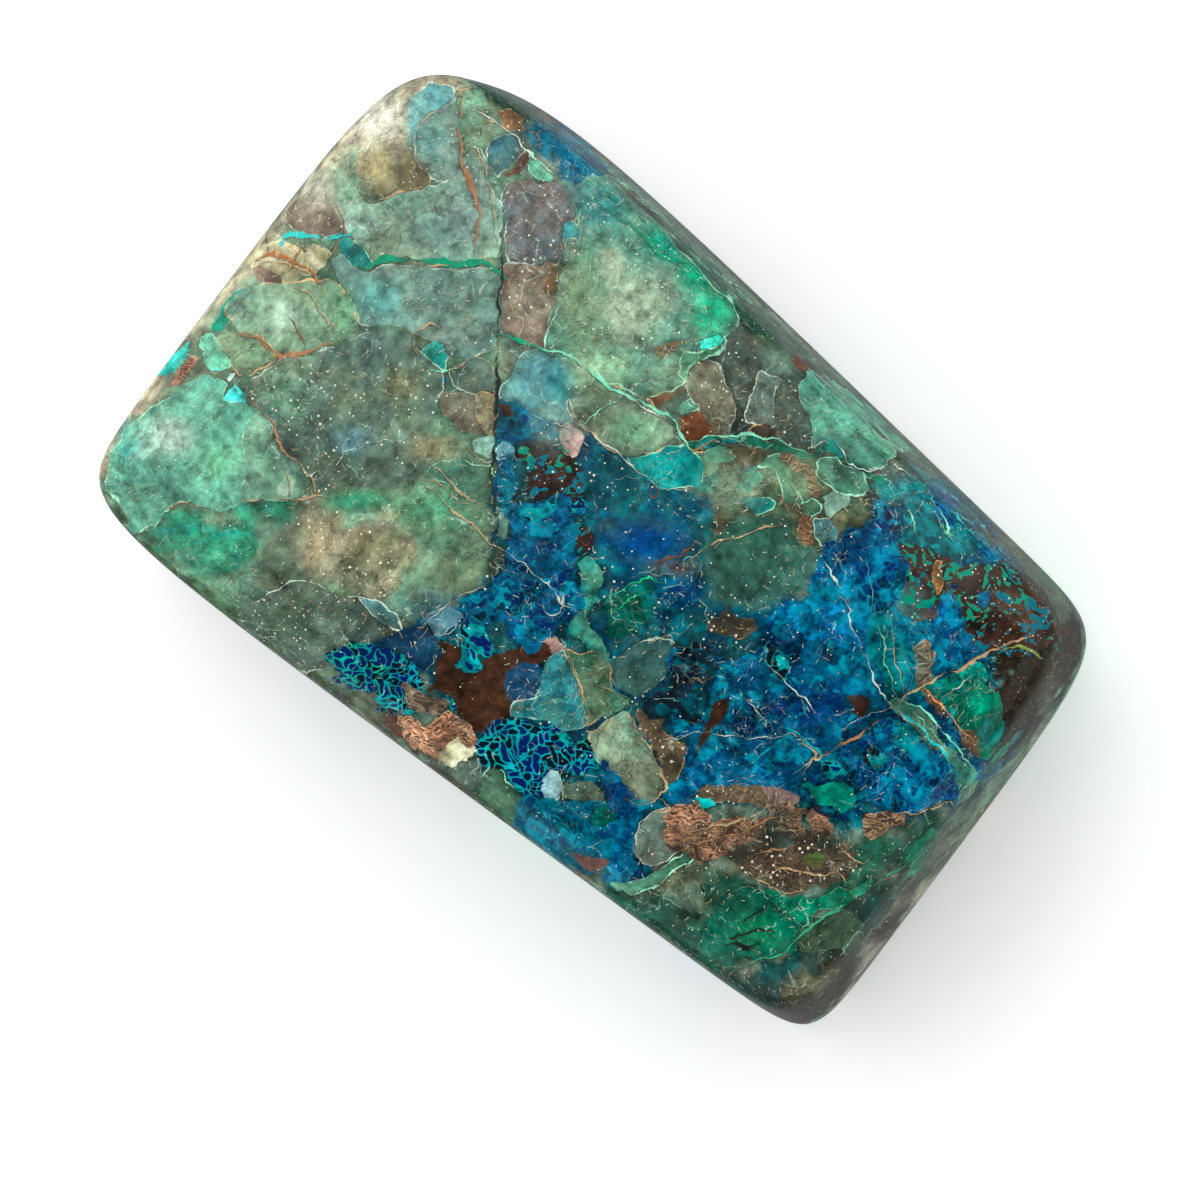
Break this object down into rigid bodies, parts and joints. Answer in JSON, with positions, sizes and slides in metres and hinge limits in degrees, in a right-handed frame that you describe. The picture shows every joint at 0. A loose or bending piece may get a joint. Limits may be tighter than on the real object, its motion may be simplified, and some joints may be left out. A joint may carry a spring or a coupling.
{
  "type": "shattuckite freeform",
  "caption": "Palm-sized polished slab of mixed blue and green copper rock with rounded edges, lying on its flat back.",
  "frame": {"origin": "middle of the footprint's bounding rectangle, on the surface that the stone lies on", "axes": "+X along the slab's length, +Y across it towards its longer-radiused side, +Z out of the display face"},
  "size_m": [0.0626, 0.0414, 0.0187],
  "materials": {
    "stone": "polished"
  },
  "bodies": {
    "root": {"shattuckite_freeform": "stone"}
  },
  "joints": []
}
